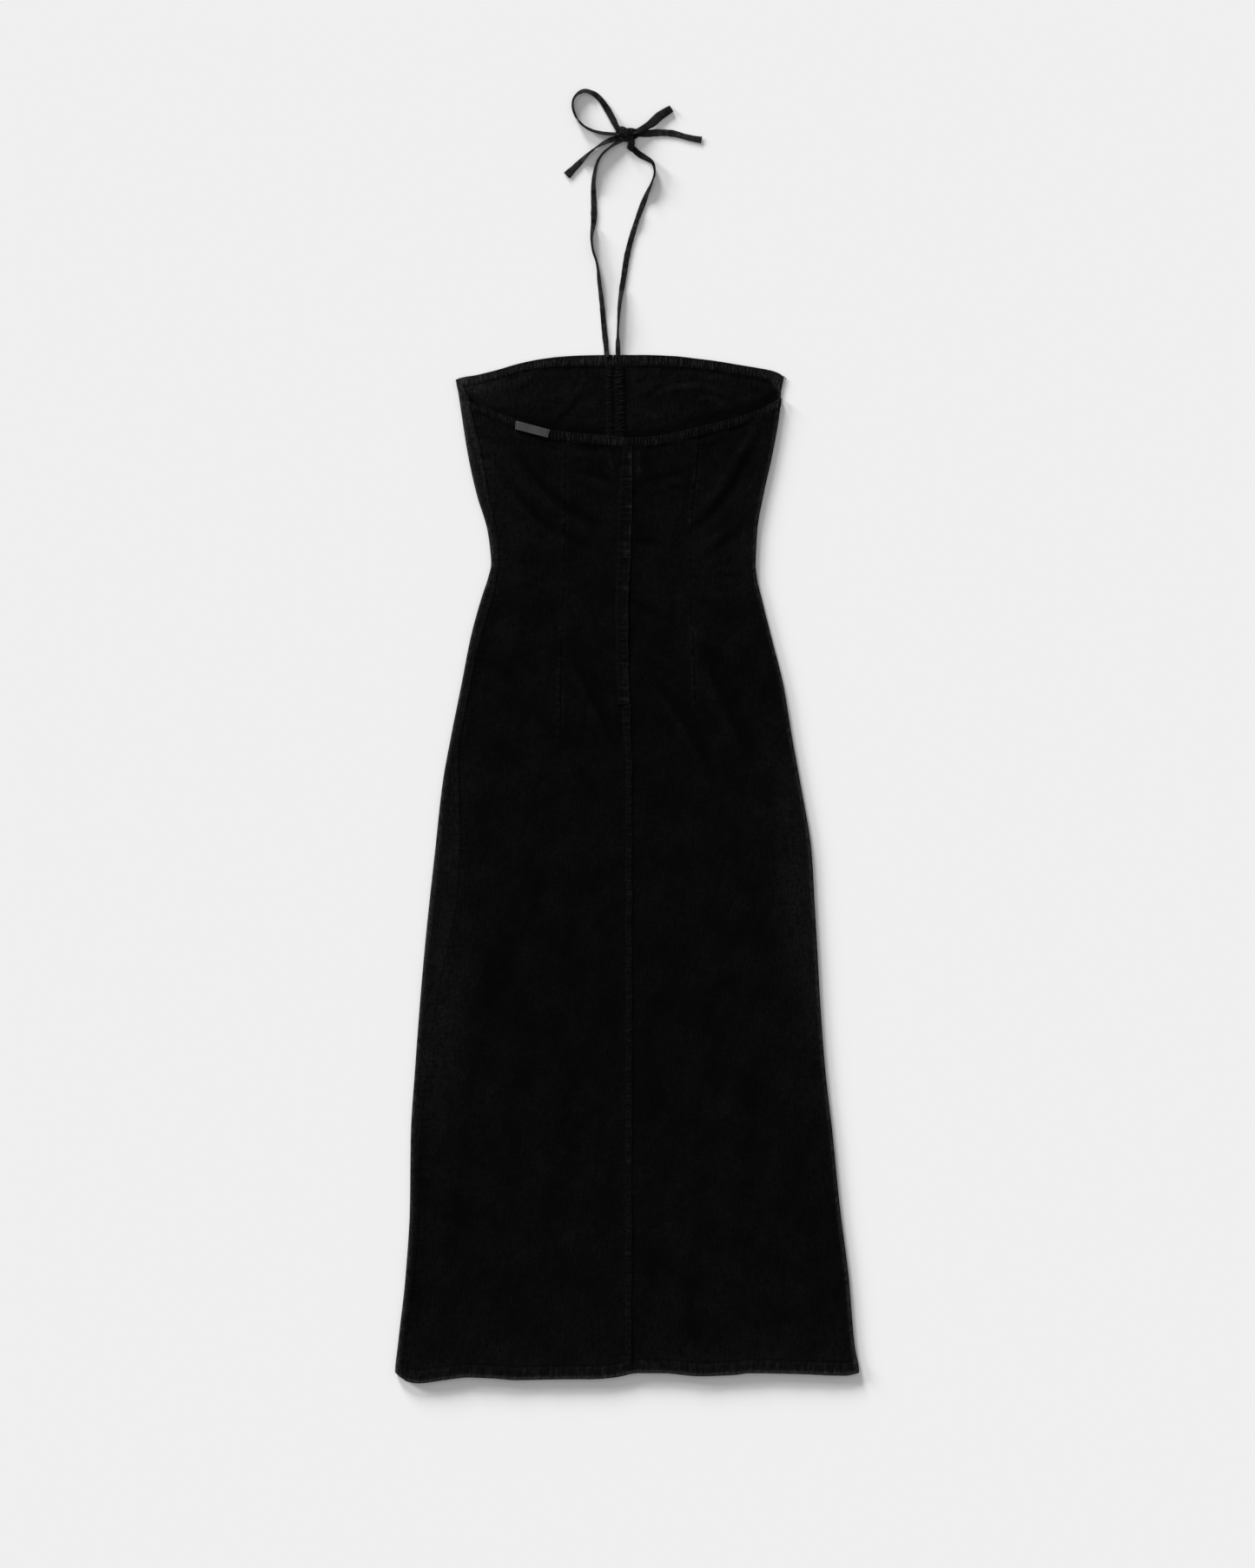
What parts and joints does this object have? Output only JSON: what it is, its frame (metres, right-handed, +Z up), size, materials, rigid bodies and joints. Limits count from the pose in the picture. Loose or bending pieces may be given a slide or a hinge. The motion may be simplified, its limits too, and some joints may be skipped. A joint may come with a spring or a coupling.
{
  "type": "halter dress laid flat",
  "caption": "Long black cotton halter dress laid flat back side up, low back neckline over the front's inside, gathered centre front casing and narrow neck ties in a bow.",
  "frame": {"origin": "On the surface that the dress lies on, in the middle of the box round the dress without its ties.", "axes": "+Z up from the surface, +Y from the hem towards the neck, +X to the right as the dress lies with its back side up."},
  "size_m": [0.55, 1.5343, 0.0077],
  "materials": {
    "cloth": "washed cotton twill, matt, slightly faded at the seams",
    "binding": "washed cotton twill, matt, puckered and faded on the crests",
    "tie": "narrow turned cotton tie, matt",
    "label": "woven satin label, dark grey, bare"
  },
  "bodies": {
    "root": {"front_left": "cloth", "front_right": "cloth", "back_left": "cloth", "back_right": "cloth", "front_binding_left": "binding", "front_binding_right": "binding", "back_binding_left": "binding", "back_binding_right": "binding", "front_casing": "cloth", "zip_lap": "cloth", "neck_label": "label", "tie_left": "tie", "tie_right": "tie", "bow_loop_open": "tie", "bow_loop_flat": "tie", "tie_end_right": "tie", "tie_end_left": "tie", "bow_knot": "tie"}
  },
  "joints": []
}
